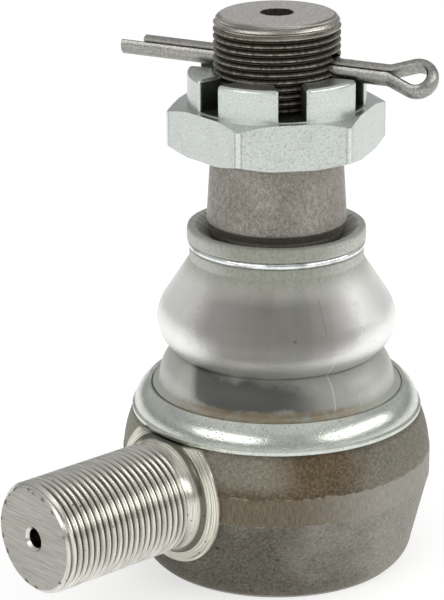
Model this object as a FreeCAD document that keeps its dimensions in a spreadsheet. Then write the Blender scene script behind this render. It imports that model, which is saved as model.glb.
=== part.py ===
"""Tie rod end: a ball joint with a threaded shank, a tapered stud, a castle nut and a dust boot.

Millimetres. The origin is the centre of the ball, +Z runs up the stud and +X runs out along the
shank, whose axis passes through the ball's centre. The driving sizes are the cells of the sheet
named Sizes, and the sketches and features read them through expressions.
"""
import FreeCAD, Part
import Sketcher
import math
import os

from FreeCAD import Placement, Rotation, Vector


def chord(radius, height):
    """The radius of a ball's circle at this height over its centre."""
    return round(math.sqrt(radius ** 2 - height ** 2), 4)


# Every driving size: name, value in millimetres or degrees, what it is.
SIZE_TABLE = [
    # ball and socket
    ("ball_radius", 18.0, "ball of the stud"),
    ("ball_flat_depth", 15.5, "flat under the ball, below its centre"),
    ("ball_play", 0.05, "running clearance round the ball"),
    ("ball_flat_radius", chord(18.0, 15.5), "edge of the flat under the ball"),
    ("socket_radius", 21.5, "bore of the housing, outside of the shells"),
    ("shell_half_gap", 0.3, "half the gap between the two shells"),
    ("shell_rim_radius", chord(18.05, 0.3), "spherical face of both shells at their gap"),
    ("shell_mouth_radius", chord(18.05, 8.2), "upper edge of the upper shell's spherical face"),
    ("shell_mouth_height", 8.2, "height of that edge"),
    ("shell_flare_radius", 17.2, "mouth of the upper shell"),
    ("shell_top", 9.2, "top face of the upper shell"),
    ("shell_chamfer", 1.2, "outer chamfer of both shells"),
    ("shell_bottom", 17.2, "bottom face of the lower shell, below the ball's centre"),
    ("shell_drain_radius", 8.2, "grease hole in the lower shell"),
    ("shell_drain_top", chord(18.05, 8.2), "where that hole meets the sphere, below its centre"),
    # housing
    ("barrel_radius", 33.9, "largest radius of the forging, at its flash band"),
    ("flash_top", 3.2, "top of the trimmed flash band"),
    ("flash_bottom", 2.9, "bottom of the flash band, below the ball's centre"),
    ("flash_stand", 0.12, "height of the band over the forged skin"),
    ("shoulder_radius", 31.9, "forging below the clamp ring's seat"),
    ("shoulder_height", 11.3, "top of the forged skin"),
    ("seat_height", 12.1, "ledge under the clamp ring"),
    ("seat_edge_radius", 31.2, "outer edge of that ledge"),
    ("spigot_radius", 30.0, "spigot that the clamp ring is pressed on"),
    ("spigot_top", 13.9, "top face of the spigot"),
    ("spigot_chamfer", 0.4, "chamfer of the spigot"),
    ("flash_ramp", 0.15, "height of the flash band's sloping edges"),
    ("base_chamfer", 0.35, "chamfer of the bottom rim"),
    ("cutter_reach", 4.0, "how far the turning cuts reach past the forging"),
    ("seat_clearance", 8.0, "height of the cut that clears the clamp ring's seat"),
    ("mouth_bevel", 0.5, "widening of the mouth, a millimetre over the spigot"),
    ("mouth_radius", 20.8, "mouth of the socket at the spigot's top"),
    ("throat_radius", 18.2, "narrowest part of the socket's mouth"),
    ("crown_arc", 24.0, "radius of the forging's upper side in section"),
    ("heel_radius", 30.2, "forging where its lower corner starts to round"),
    ("heel_height", 17.5, "that place, below the ball's centre"),
    ("base_radius", 27.9, "outer edge of the bottom rim"),
    ("base_depth", 22.0, "bottom rim, below the ball's centre"),
    ("corner_arc", 6.5, "rounding of the lower corner"),
    ("cover_seat_depth", 18.5, "step that the end cover rests on"),
    ("cover_radius", 24.5, "end cover and its counterbore"),
    ("cover_thickness", 2.2, "end cover"),
    ("cover_dish", 0.7, "dish of the end cover"),
    ("cover_dish_radius", 9.0, "flat middle of the end cover"),
    ("cover_dish_slope", 3.0, "width of the slope round that middle"),
    ("lip_radius", 22.8, "inner edge of the lip rolled over the cover"),
    ("seal_radius", 23.0, "middle of the cover's sealing ring"),
    ("seal_wire", 0.55, "half the thickness of the sealing ring"),
    ("fit_play", 0.05, "clearance of a piece in its groove, counterbore or seat"),
    ("seal_groove", 1.15, "depth of its groove"),
    ("seal_height", -17.93, "height of the sealing ring"),
    ("spring_inner", 10.5, "inner edge of the disc spring"),
    ("spring_outer", 20.5, "outer edge of the disc spring"),
    ("spring_thickness", 0.8, "disc spring"),
    # shank
    ("shank_radius", 12.0, "M24 x 1.5 thread, crest"),
    ("shank_length", 68.3, "end face of the shank from the stud's axis"),
    ("shank_thread_start", 36.2, "inner end of the shank's thread"),
    ("shank_chamfer", 1.1, "chamfer of the shank's end"),
    ("shank_start", 20.0, "where the shank's own solid starts, inside the barrel"),
    ("shank_lead", 0.6, "chamfer where the thread starts"),
    ("shank_centre_radius", 2.1, "centre hole in the shank's end"),
    ("shank_centre_mouth", 2.75, "mouth of that hole, with its chamfer"),
    ("shank_centre_chamfer", 0.7, "depth of that chamfer"),
    ("shank_centre_depth", 7.0, "depth of that hole"),
    ("shank_centre_point", 1.1, "height of the drill point under it"),
    ("shank_root_radius", 11.45, "plain run-out beside the thread"),
    ("flare_radius", 12.9, "shank where its fillet meets the shoulder"),
    ("flare_start", 32.6, "that place, from the stud's axis"),
    ("boss_radius", 15.6, "turned shoulder round the shank"),
    ("boss_face", 31.3, "face of that shoulder, from the stud's axis"),
    ("flare_arc", 4.6, "fillet of the shank"),
    ("boss_draft", 0.9, "how much wider the spot face is outside the barrel"),
    # stud
    ("thread_pitch", 1.5, "both threads"),
    ("thread_depth", 0.92, "both threads"),
    ("stud_thread_radius", 13.5, "M27 x 1.5 thread, crest"),
    ("stud_top", 99.9, "top face of the stud"),
    ("stud_top_radius", 11.6, "flat top face"),
    ("stud_crown", 3.0, "height of the rounding round the top face"),
    ("stud_crown_arc", 2.6, "radius of that rounding in section"),
    ("stud_lead", 1.1, "chamfer under the thread"),
    ("stud_relief_radius", 12.4, "relief between cone and thread"),
    ("stud_relief_low", 72.0, "bottom of the relief"),
    ("stud_relief_high", 73.4, "top of the relief, where the thread starts"),
    ("cone_small_radius", 14.15, "cone, small end"),
    ("cone_top", 70.9, "height of the small end"),
    ("cone_large_radius", 15.16, "cone, large end, a 1 to 8 taper"),
    ("cone_bottom", 54.8, "height of the large end"),
    ("seal_seat_radius", 14.4, "cylinder that the boot's lip runs on"),
    ("seal_seat_top", 53.2, "its top"),
    ("seal_seat_bottom", 44.0, "its bottom"),
    ("neck_radius", 10.2, "neck over the ball"),
    ("neck_top", 33.0, "top of the neck's straight part"),
    ("neck_root", 15.6, "bottom of the neck's straight part"),
    ("neck_foot_radius", 10.85, "where the neck's fillet meets the ball"),
    ("neck_foot_height", chord(18.0, 10.85), "height of that circle"),
    ("shoulder_arc", 18.0, "sweep from the neck out to the seal seat"),
    ("neck_arc", 1.4, "fillet between neck and ball"),
    ("drill_radius", 3.3, "centre hole in the stud's top"),
    ("drill_rim", 2.8, "the hole under its ragged rim"),
    ("drill_rim_depth", 0.9, "depth of that rim"),
    ("drill_depth", 3.4, "its conical part"),
    ("pilot_radius", 1.4, "its drilled part"),
    ("pilot_depth", 6.5, "bottom of the drilled part"),
    ("pilot_point", 0.8, "height of the drill point under it"),
    ("pin_hole_radius", 2.95, "cross hole for the split pin"),
    ("pin_height", 89.3, "height of the cross hole"),
    # castle nut
    ("nut_bottom", 70.95, "underside of the nut"),
    ("nut_hex_height", 9.8, "hexagon"),
    ("nut_height", 16.7, "whole nut"),
    ("nut_flats", 41.0, "across the flats"),
    ("crown_radius", 19.0, "round crown"),
    ("nut_chamfer_radius", 21.0, "circle where the hexagon's chamfers start"),
    ("nut_chamfer_reach", 4.0, "width of the chamfering cut"),
    ("nut_chamfer_drop", 1.9, "height that the chamfer loses over that width"),
    ("nut_blank_radius", 26.0, "round bar that the hexagon is cut from"),
    ("nut_cut_length", 100.0, "length of the cut that makes the flats"),
    ("slot_cut_length", 20.0, "height of the cut that makes a slot"),
    ("nut_core_radius", 12.75, "crest of the nut's thread"),
    ("nut_thread_radius", 13.5, "root of the nut's thread, without its play"),
    ("nut_thread_play", 0.06, "play of the nut's thread on the stud's"),
    ("nut_mouth", 1.0, "chamfer of the nut's thread at its top"),
    ("nut_sink_radius", 14.9, "countersink under the nut"),
    ("nut_sink_depth", 1.3, "its depth"),
    ("slot_half", 2.75, "half the width of the crown's slots"),
    ("nut_slot_reach", 24.0, "how far the slots are cut outwards"),
    ("slot_bottom", 10.0, "bottom of the slots over the nut's underside"),
    ("castle_round", 0.8, "rounding of the crown's edges"),
    ("nut_turn", -2.93, "angle of one slot from +X"),
    # split pin
    ("pin_radius", 2.3, "the two half-round legs together"),
    ("pin_half_gap", 0.1, "half the gap between the legs"),
    ("pin_bevel", 0.4, "bevel of the half-round wire's edges"),
    ("pin_short_leg", 29.9, "end of the short leg from the stud's axis"),
    ("pin_long_leg", 34.8, "end of the long leg"),
    ("pin_bend_start", 24.6, "where the legs start to part for the eye"),
    ("pin_bend_radius", 3.5, "bend at the foot of the eye"),
    ("pin_bend_angle", 22.0, "how far it turns"),
    ("pin_eye_radius", 2.25, "inside of the eye"),
    ("pin_turn", 117.07, "direction of the eye from +X"),
    ("pin_dip", 2.2, "droop of the eye end"),
    ("pin_roll", 40.0, "turn of the pin about its own length"),
    # boot and its rings
    ("rim_height", 53.6, "top of the boot's collar"),
    ("rim_outer", 19.1, "collar rim, outside"),
    ("rim_inner", 17.6, "collar rim, inside"),
    ("rim_edge", 0.5, "height of the rim's bevel"),
    ("collar_radius", 19.35, "collar wall"),
    ("lip_play", 0.05, "running clearance of the boot's lip on the stud"),
    ("bowl_bottom", 51.6, "foot of the collar's shallow bowl"),
    ("lip_bottom", 46.6, "bottom of the lip"),
    ("lip_thickness", 2.0, "lip, at its bottom"),
    ("groove_top", 50.6, "groove of the wire ring, top"),
    ("groove_bottom", 49.0, "groove of the wire ring, bottom"),
    ("groove_radius", 17.7, "bottom of that groove"),
    ("bead_radius", 18.9, "bead under the wire ring"),
    ("bead_bottom", 47.4, "foot of that bead"),
    ("sleeve_radius", 19.55, "boot under the bead"),
    ("sleeve_height", 45.1, "that place"),
    ("sleeve_drop", 0.6, "how much lower its inside starts"),
    ("slope_radius", 24.5, "end of the boot's straight slope"),
    ("slope_height", 37.6, "that place"),
    ("bulge_arc", 7.9, "upper bulge in section"),
    ("under_radius", 23.5, "underside of the bulge"),
    ("under_height", 27.3, "that place"),
    ("waist_radius", 22.1, "crease between the two folds"),
    ("waist_height", 25.9, "height of the crease"),
    ("waist_gap", 0.1, "cut between the two folds"),
    ("boot_wall", 1.9, "boot wall"),
    ("fold_radius", 25.5, "lower fold, outside"),
    ("fold_height", 20.6, "that place"),
    ("fold_arc", 7.5, "lower fold in section"),
    ("foot_radius", 25.9, "lower fold where it enters the clamp ring"),
    ("foot_height", 18.6, "that place"),
    ("foot_slope", 0.5, "height of the slope out to the clamp ring's edge"),
    ("foot_inner_drop", 1.0, "how much lower the inside of the foot starts"),
    ("foot_play", 0.15, "gap between the boot and the clamp ring's edge"),
    ("foot_tuck", 0.2, "how far the boot runs under that edge"),
    ("foot_bead_outer", 28.9, "bead held by the clamp ring, outside"),
    ("foot_bead_inner", 24.6, "that bead, inside"),
    ("foot_bead_top", 16.9, "top of that bead"),
    ("foot_bead_edge", 0.6, "height of its upper slope"),
    ("foot_bead_side", 1.5, "height of its corner under its top"),
    ("wire_ring_radius", 18.5, "middle of the wire ring"),
    ("wire_ring_height", 49.8, "its height"),
    ("wire_ring_wire", 0.75, "half the wire's thickness"),
    ("clamp_lip_radius", 31.7, "clamp ring's lower lip"),
    ("clamp_bottom", 12.4, "underside of the clamp ring"),
    ("clamp_lip_height", 13.1, "top of its lip"),
    ("clamp_wall_radius", 31.2, "clamp ring over its lip"),
    ("clamp_wall_height", 13.5, "that place"),
    ("clamp_top_radius", 28.2, "top of the clamp ring"),
    ("clamp_top", 18.2, "height of its top"),
    ("clamp_arc", 7.0, "convex face of the clamp ring in section"),
    ("clamp_edge_radius", 27.5, "inner edge of the clamp ring"),
    ("clamp_edge_bottom", 17.3, "bottom of its inner edge"),
    ("clamp_edge_drop", 0.35, "how much lower the inner edge is than the top"),
    ("clamp_edge_foot", 0.5, "width of the inner edge's underside"),
    ("clamp_sheet", 1.2, "sheet of the clamp ring"),
]
SIZES = {name: value for name, value, _ in SIZE_TABLE}
SMALLEST_CUT = 0.01                     # mm3 that a cut has to take away
FLANK = math.tan(math.radians(30))      # slope of a 60 degree thread's flanks
ROOT_HALF = 0.09                        # half the flat at the bottom of a groove
CUTTER_STAND = 0.25                     # how far the thread cutter stands out of the rod

doc = FreeCAD.newDocument("TieRodEnd")
sheet = doc.addObject("Spreadsheet::Sheet", "Sizes")
for row, (name, value, note) in enumerate(SIZE_TABLE, start=1):
    sheet.set(f"A{row}", str(value))
    sheet.setAlias(f"A{row}", name)
    sheet.set(f"B{row}", note)
doc.recompute()

nodes = []


def terms(text):
    """The signs and words of a sum of sheet names and numbers, such as 'ball_radius + ball_play'."""
    sign = 1.0
    for word in text.split():
        if word in ("+", "-"):
            sign = -1.0 if word == "-" else 1.0
            continue
        if word.startswith("-"):
            sign, word = -sign, word[1:]
        yield sign, word
        sign = 1.0


def formula(text):
    """The sum as an expression on the sheet's cells."""
    parts = [(sign, f"Sizes.{word}" if word in SIZES else word) for sign, word in terms(text)]
    return " ".join(("- " if sign < 0 else "+ ") + word for sign, word in parts).removeprefix("+ ")


def number(text):
    """The value of the same sum, for a sketch's first placing."""
    return sum(sign * (SIZES[word] if word in SIZES else float(word)) for sign, word in terms(text))


def must_cut(feature, before):
    """Stops the build if a cutting feature took nothing away from the solid."""
    doc.recompute()
    if not feature.Shape.Volume < before - SMALLEST_CUT:
        raise RuntimeError(f"{feature.Name} cuts nothing")


def keep(thing, label):
    """Marks an object as the finished shape of one node."""
    thing.Label = label
    nodes.append(thing)
    return thing


def new_body(name):
    return doc.addObject("PartDesign::Body", name)


def origin_plane(body, role):
    return next(item for item in body.Origin.OriginFeatures if item.Role == role)


def arc_through(start, end, radius, turn):
    """The arc between two points with this radius, counter-clockwise for turn 1, clockwise for -1."""
    span = end - start
    half = span.Length / 2
    left = Vector(-span.y, span.x, 0).normalize()
    centre = start + span / 2 + left * (turn * math.sqrt(radius ** 2 - half ** 2))
    first, last = (start, end) if turn > 0 else (end, start)
    angles = [math.atan2(p.y - centre.y, p.x - centre.x) for p in (first, last)]
    circle = Part.Circle(centre, Vector(0, 0, 1), radius)
    return Part.ArcOfCircle(circle, angles[0], angles[1])


def sketch_outline(body, name, plane, points, arcs=None, closed=True):
    """A sketch of straight lines and arcs through points, each coordinate bound to the sheet.

    arcs maps the number of a stretch to its radius and its turn.
    """
    arcs = arcs or {}
    sketch = body.newObject("Sketcher::SketchObject", name)
    sketch.AttachmentSupport = (origin_plane(body, plane), [""])
    sketch.MapMode = "FlatFace"
    places = [Vector(number(x), number(y), 0) for x, y in points]
    stretches = len(points) if closed else len(points) - 1
    starts, ends = [], []
    for i in range(stretches):
        here, there = places[i], places[(i + 1) % len(points)]
        if i in arcs:
            radius, turn = arcs[i]
            geo = sketch.addGeometry(arc_through(here, there, number(radius), turn), False)
            starts.append((geo, 1 if turn > 0 else 2))
            ends.append((geo, 2 if turn > 0 else 1))
        else:
            geo = sketch.addGeometry(Part.LineSegment(here, there), False)
            starts.append((geo, 1))
            ends.append((geo, 2))
    for i in range(stretches):
        if closed or i:
            sketch.addConstraint(Sketcher.Constraint("Coincident", *ends[i - 1], *starts[i]))
    corners = starts if closed else starts + [ends[-1]]
    for (x, y), place, (geo, pos) in zip(points, places, corners):
        for kind, text, value in (("DistanceX", x, place.x), ("DistanceY", y, place.y)):
            row = sketch.addConstraint(Sketcher.Constraint(kind, -1, 1, geo, pos, value))
            sketch.setExpression(f"Constraints[{row}]", formula(text))
    for i, (radius, _) in arcs.items():
        row = sketch.addConstraint(Sketcher.Constraint("Radius", starts[i][0], number(radius)))
        sketch.setExpression(f"Constraints[{row}]", formula(radius))
    return sketch


def sketch_circle(body, name, plane, height, radius):
    """A sketch of one circle centred on the vertical axis at this height."""
    sketch = body.newObject("Sketcher::SketchObject", name)
    sketch.AttachmentSupport = (origin_plane(body, plane), [""])
    sketch.MapMode = "FlatFace"
    centre = Vector(0, number(height), 0)
    sketch.addGeometry(Part.Circle(centre, Vector(0, 0, 1), number(radius)), False)
    sketch.addConstraint(Sketcher.Constraint("DistanceX", -1, 1, 0, 3, 0.0))
    row = sketch.addConstraint(Sketcher.Constraint("DistanceY", -1, 1, 0, 3, centre.y))
    sketch.setExpression(f"Constraints[{row}]", formula(height))
    row = sketch.addConstraint(Sketcher.Constraint("Radius", 0, number(radius)))
    sketch.setExpression(f"Constraints[{row}]", formula(radius))
    return sketch


def revolve(body, name, points, arcs=None, axis="V_Axis", kind="PartDesign::Revolution"):
    """Turns an outline in the XZ plane a full turn, adding it or, as a groove, taking it away."""
    cutting = kind == "PartDesign::Groove"
    before = body.Shape.Volume if cutting else 0
    sketch = sketch_outline(body, name + "Sketch", "XZ_Plane", points, arcs)
    turned = body.newObject(kind, name)
    turned.Profile = sketch
    turned.ReferenceAxis = (sketch, [axis])
    turned.Angle = 360.0
    doc.recompute()
    if cutting:
        must_cut(turned, before)
    return turned


def cut_thread(body, name, radius, start, length, axis):
    """Cuts a right-hand 60 degree thread of the sheet's pitch into a rod of this radius.

    The cutter starts one turn outside the rod's end, and it stands proud of the crest.
    """
    before = body.Shape.Volume
    flank = (SIZES["thread_depth"] + CUTTER_STAND) * FLANK + ROOT_HALF
    inner = f"{radius} - thread_depth"
    outer = f"{radius} + {CUTTER_STAND}"
    section = [(inner, -ROOT_HALF), (outer, -flank), (outer, flank), (inner, ROOT_HALF)]
    if axis == "V_Axis":
        points = [(r, f"{start} + {z:.4f}") for r, z in section]
    else:
        points = [(f"{start} + {z:.4f}", r) for r, z in section]
    sketch = sketch_outline(body, name + "Sketch", "XZ_Plane", points)
    thread = body.newObject("PartDesign::SubtractiveHelix", name)
    thread.Profile = (sketch, [""])
    thread.ReferenceAxis = (sketch, [axis])
    thread.Mode = "pitch-height-angle"
    thread.setExpression("Pitch", "Sizes.thread_pitch")
    thread.setExpression("Height", formula(length))
    must_cut(thread, before)


def housing():
    """The forging: barrel, socket, spigot and threaded shank in one piece."""
    body = new_body("Housing")
    revolve(body, "Barrel", [
        ("0", "spigot_top"),
        ("spigot_radius - spigot_chamfer", "spigot_top"),
        ("spigot_radius", "spigot_top - spigot_chamfer"),
        ("spigot_radius", "seat_height"),
        ("seat_edge_radius", "seat_height"),
        ("shoulder_radius", "shoulder_height"),
        ("barrel_radius - flash_stand", "flash_top"),
        ("barrel_radius", "flash_top - flash_ramp"),
        ("barrel_radius", "flash_ramp - flash_bottom"),
        ("barrel_radius - flash_stand", "-flash_bottom"),
        ("heel_radius", "-heel_height"),
        ("base_radius", "base_chamfer - base_depth"),
        ("base_radius - base_chamfer", "-base_depth"),
        ("0", "-base_depth"),
    ], {5: ("crown_arc", -1), 10: ("corner_arc", -1)})
    revolve(body, "SpotFace", [
        ("boss_face", "0"),
        ("boss_face", "boss_radius"),
        ("barrel_radius + cutter_reach", "boss_radius + boss_draft"),
        ("barrel_radius + cutter_reach", "0"),
    ], axis="H_Axis", kind="PartDesign::Groove")
    revolve(body, "Shank", [
        ("shank_start", "0"),
        ("shank_start", "boss_radius"),
        ("boss_face", "boss_radius"),
        ("flare_start", "flare_radius"),
        ("shank_thread_start", "shank_root_radius"),
        ("shank_thread_start + shank_lead", "shank_radius"),
        ("shank_length - shank_chamfer", "shank_radius"),
        ("shank_length", "shank_radius - shank_chamfer"),
        ("shank_length", "0"),
    ], {3: ("flare_arc", 1)}, axis="H_Axis")
    revolve(body, "ClampSeat", [
        ("spigot_radius", "seat_height"),
        ("shoulder_radius + cutter_reach", "seat_height"),
        ("shoulder_radius + cutter_reach", "seat_height + seat_clearance"),
        ("throat_radius", "seat_height + seat_clearance"),
        ("throat_radius", "spigot_top"),
        ("spigot_radius - spigot_chamfer", "spigot_top"),
        ("spigot_radius", "spigot_top - spigot_chamfer"),
    ], kind="PartDesign::Groove")
    revolve(body, "Socket", [
        ("0", "spigot_top + 1"),
        ("mouth_radius + mouth_bevel", "spigot_top + 1"),
        ("mouth_radius", "spigot_top"),
        ("throat_radius", "shell_top"),
        ("socket_radius - shell_chamfer", "shell_top"),
        ("socket_radius", "shell_top - shell_chamfer"),
        ("socket_radius", "-cover_seat_depth"),
        ("seal_radius - seal_wire - fit_play", "-cover_seat_depth"),
        ("seal_radius - seal_wire - fit_play", "seal_groove - cover_seat_depth"),
        ("seal_radius + seal_wire + fit_play", "seal_groove - cover_seat_depth"),
        ("seal_radius + seal_wire + fit_play", "-cover_seat_depth"),
        ("cover_radius", "-cover_seat_depth"),
        ("cover_radius", "-cover_seat_depth - cover_thickness"),
        ("lip_radius", "-cover_seat_depth - cover_thickness"),
        ("lip_radius", "-base_depth - 1"),
        ("0", "-base_depth - 1"),
    ], kind="PartDesign::Groove")
    revolve(body, "ShankCentre", [
        ("shank_length", "0"),
        ("shank_length", "shank_centre_mouth"),
        ("shank_length - shank_centre_chamfer", "shank_centre_radius"),
        ("shank_length - shank_centre_depth", "shank_centre_radius"),
        ("shank_length - shank_centre_depth - shank_centre_point", "0"),
    ], axis="H_Axis", kind="PartDesign::Groove")
    cut_thread(body, "ShankThread", "shank_radius", "shank_thread_start",
               "shank_length - shank_thread_start + thread_pitch", "H_Axis")
    return keep(body, "housing")


def ball_stud():
    """Ball, neck, seal seat, 1 to 8 cone and M27 thread, with the split pin's cross hole."""
    body = new_body("BallStud")
    revolve(body, "Stud", [
        ("0", "-ball_flat_depth"),
        ("ball_flat_radius", "-ball_flat_depth"),
        ("neck_foot_radius", "neck_foot_height"),
        ("neck_radius", "neck_root"),
        ("neck_radius", "neck_top"),
        ("seal_seat_radius", "seal_seat_bottom"),
        ("seal_seat_radius", "seal_seat_top"),
        ("cone_large_radius", "cone_bottom"),
        ("cone_small_radius", "cone_top"),
        ("stud_relief_radius", "stud_relief_low"),
        ("stud_relief_radius", "stud_relief_high"),
        ("stud_thread_radius", "stud_relief_high + stud_lead"),
        ("stud_thread_radius", "stud_top - stud_crown"),
        ("stud_top_radius", "stud_top"),
        ("drill_radius", "stud_top"),
        ("drill_rim", "stud_top - drill_rim_depth"),
        ("pilot_radius", "stud_top - drill_depth"),
        ("pilot_radius", "stud_top - pilot_depth"),
        ("0", "stud_top - pilot_depth - pilot_point"),
    ], {
        1: ("ball_radius", 1),
        2: ("neck_arc", -1),
        4: ("shoulder_arc", -1),
        12: ("stud_crown_arc", 1),
    })
    cut_thread(body, "StudThread", "stud_thread_radius", "stud_relief_high",
               "stud_top - stud_relief_high + thread_pitch", "V_Axis")
    hole = sketch_circle(body, "PinHoleSketch", "YZ_Plane", "pin_height", "pin_hole_radius")
    turned = Rotation(Vector(0, 1, 0), SIZES["pin_turn"])
    hole.AttachmentOffset = Placement(Vector(0, 0, 0), turned)
    before = body.Shape.Volume
    drilled = body.newObject("PartDesign::Pocket", "PinHole")
    drilled.Profile = hole
    drilled.Midplane = True
    drilled.setExpression("Length", "4 * Sizes.stud_thread_radius")
    must_cut(drilled, before)
    return keep(body, "ball_stud")


def upper_shell():
    """The half of the bearing that holds the ball down."""
    body = new_body("UpperShell")
    revolve(body, "UpperShellTurned", [
        ("shell_rim_radius", "shell_half_gap"),
        ("shell_mouth_radius", "shell_mouth_height"),
        ("shell_flare_radius", "shell_top"),
        ("socket_radius - shell_chamfer", "shell_top"),
        ("socket_radius", "shell_top - shell_chamfer"),
        ("socket_radius", "shell_half_gap"),
    ], {0: ("ball_radius + ball_play", 1)})
    return keep(body, "upper_bearing_shell")


def lower_shell():
    """The half of the bearing that the disc spring pushes up."""
    body = new_body("LowerShell")
    revolve(body, "LowerShellTurned", [
        ("shell_rim_radius", "-shell_half_gap"),
        ("socket_radius", "-shell_half_gap"),
        ("socket_radius", "shell_chamfer - shell_bottom"),
        ("socket_radius - shell_chamfer", "-shell_bottom"),
        ("shell_drain_radius", "-shell_bottom"),
        ("shell_drain_radius", "-shell_drain_top"),
    ], {5: ("ball_radius + ball_play", 1)})
    return keep(body, "lower_bearing_shell")


def disc_spring():
    """The conical washer between the lower shell and the end cover."""
    body = new_body("DiscSpring")
    revolve(body, "DiscSpringTurned", [
        ("spring_inner", "-shell_bottom"),
        ("spring_outer", "spring_thickness - cover_seat_depth"),
        ("spring_outer", "-cover_seat_depth"),
        ("spring_inner", "-shell_bottom - spring_thickness"),
    ])
    return keep(body, "disc_spring")


def end_cover():
    """The dished plate that closes the socket from below."""
    body = new_body("EndCover")
    revolve(body, "EndCoverTurned", [
        ("0", "-cover_seat_depth - cover_dish"),
        ("cover_dish_radius", "-cover_seat_depth - cover_dish"),
        ("cover_dish_radius + cover_dish_slope", "-cover_seat_depth"),
        ("cover_radius - fit_play", "-cover_seat_depth"),
        ("cover_radius - fit_play", "-cover_seat_depth - cover_thickness"),
        ("cover_dish_radius + cover_dish_slope", "-cover_seat_depth - cover_thickness"),
        ("cover_dish_radius", "-cover_seat_depth - cover_thickness - cover_dish"),
        ("0", "-cover_seat_depth - cover_thickness - cover_dish"),
    ])
    return keep(body, "end_cover")


def ring(name, label, radius, wire, height):
    """A closed ring of round section lying level at this height."""
    torus = doc.addObject("Part::Torus", name)
    torus.setExpression("Radius1", formula(radius))
    torus.setExpression("Radius2", formula(wire))
    torus.setExpression("Placement.Base.z", formula(height))
    return keep(torus, label)


def boot_upper():
    """Collar, lip, wire groove and upper bulge of the boot."""
    body = new_body("BootUpper")
    revolve(body, "BootUpperTurned", [
        ("seal_seat_radius + lip_play", "lip_bottom"),
        ("seal_seat_radius + lip_play", "bowl_bottom"),
        ("rim_inner", "rim_height"),
        ("rim_outer", "rim_height"),
        ("collar_radius", "rim_height - rim_edge"),
        ("collar_radius", "groove_top"),
        ("groove_radius", "groove_top"),
        ("groove_radius", "groove_bottom"),
        ("bead_radius", "groove_bottom"),
        ("bead_radius", "bead_bottom"),
        ("sleeve_radius", "sleeve_height"),
        ("slope_radius", "slope_height"),
        ("under_radius", "under_height"),
        ("waist_radius", "waist_height"),
        ("waist_radius - boot_wall", "waist_height"),
        ("under_radius - boot_wall", "under_height"),
        ("slope_radius - boot_wall", "slope_height"),
        ("sleeve_radius - boot_wall", "sleeve_height - sleeve_drop"),
        ("seal_seat_radius + lip_thickness", "lip_bottom"),
    ], {11: ("bulge_arc", -1), 15: ("bulge_arc - boot_wall", 1)})
    return keep(body, "boot_upper_fold")


def boot_lower():
    """Lower fold of the boot, and the bead that the clamp ring holds."""
    body = new_body("BootLower")
    revolve(body, "BootLowerTurned", [
        ("waist_radius - boot_wall", "waist_height - waist_gap"),
        ("waist_radius", "waist_height - waist_gap"),
        ("fold_radius", "fold_height"),
        ("foot_radius", "foot_height"),
        ("clamp_edge_radius - foot_play", "foot_height - foot_slope"),
        ("clamp_edge_radius - foot_play", "clamp_edge_bottom - foot_tuck"),
        ("foot_bead_outer - clamp_edge_foot", "foot_bead_top - foot_bead_edge"),
        ("foot_bead_outer", "foot_bead_top - foot_bead_side"),
        ("foot_bead_outer", "spigot_top + fit_play"),
        ("foot_bead_inner", "spigot_top + fit_play"),
        ("foot_radius - boot_wall", "foot_height - foot_inner_drop"),
        ("fold_radius - boot_wall", "fold_height"),
    ], {1: ("fold_arc", -1), 11: ("fold_arc - boot_wall", 1)})
    return keep(body, "boot_lower_fold")


def clamp_ring():
    """The pressed ring that holds the boot's foot on the housing."""
    body = new_body("ClampRing")
    revolve(body, "ClampRingTurned", [
        ("spigot_radius", "clamp_bottom"),
        ("clamp_lip_radius", "clamp_bottom"),
        ("clamp_lip_radius", "clamp_lip_height"),
        ("clamp_wall_radius", "clamp_wall_height"),
        ("clamp_top_radius", "clamp_top"),
        ("clamp_edge_radius", "clamp_top - clamp_edge_drop"),
        ("clamp_edge_radius", "clamp_edge_bottom"),
        ("clamp_edge_radius + clamp_edge_foot", "clamp_edge_bottom - fit_play"),
        ("spigot_radius", "spigot_top + spigot_chamfer"),
    ], {3: ("clamp_arc", 1), 7: ("clamp_arc - clamp_sheet", -1)})
    return keep(body, "boot_clamp_ring")


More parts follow.
